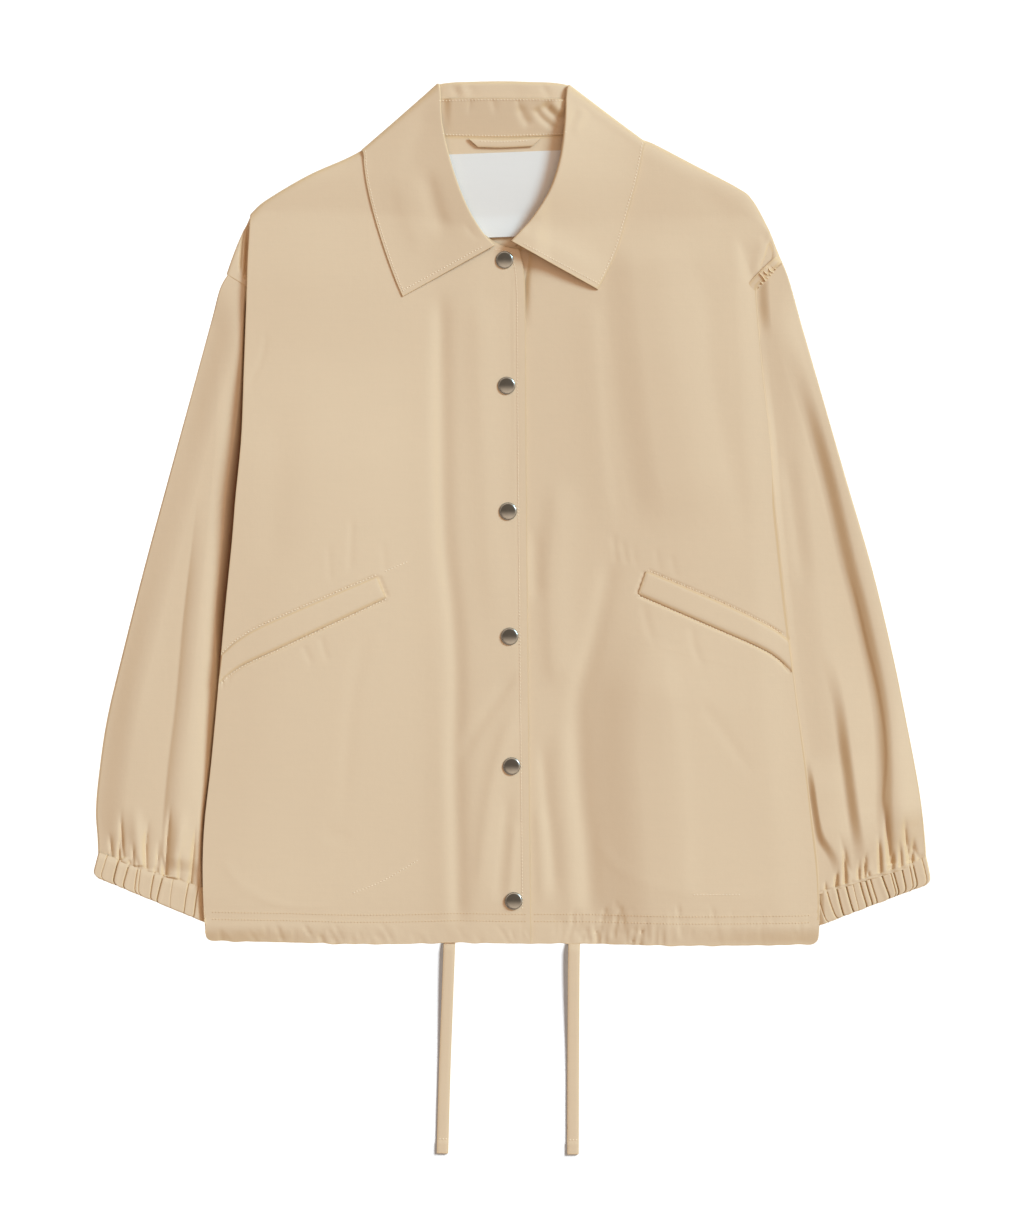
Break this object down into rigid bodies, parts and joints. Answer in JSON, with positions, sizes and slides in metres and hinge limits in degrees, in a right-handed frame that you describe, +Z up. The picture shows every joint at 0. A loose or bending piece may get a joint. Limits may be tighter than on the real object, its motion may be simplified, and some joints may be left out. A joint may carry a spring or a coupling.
{
  "type": "snap-front jacket",
  "caption": "Short cotton jacket laid flat, with a pointed fold-down collar, metal snaps, slanted welt pockets, gathered cuffs and a drawstring hem.",
  "frame": {"origin": "centre of the bottom of the jacket's box, without its drawstrings, on the surface it lies on", "axes": "+Z up from the surface, +Y from hem to collar, +X to the wearer's left sleeve, which is on the right seen from above"},
  "size_m": [0.7024, 0.9006, 0.0147],
  "materials": {
    "cotton": "matt plain-weave cotton, sand colour",
    "label": "white woven label, bare",
    "nickel": "satin nickel"
  },
  "bodies": {
    "root": {"back": "cotton", "front_right": "cotton", "front_left": "cotton", "sleeve_right": "cotton", "sleeve_left": "cotton", "cuff_right": "cotton", "cuff_left": "cotton", "collar_fall": "cotton", "collar_stand": "cotton", "pocket_welt_right": "cotton", "pocket_welt_left": "cotton", "hanger_loop": "cotton", "neck_label": "label", "snap_1": "nickel", "snap_2": "nickel", "snap_3": "nickel", "snap_4": "nickel", "snap_5": "nickel", "snap_6": "nickel", "drawstring_right": "cotton", "drawstring_left": "cotton"}
  },
  "joints": []
}
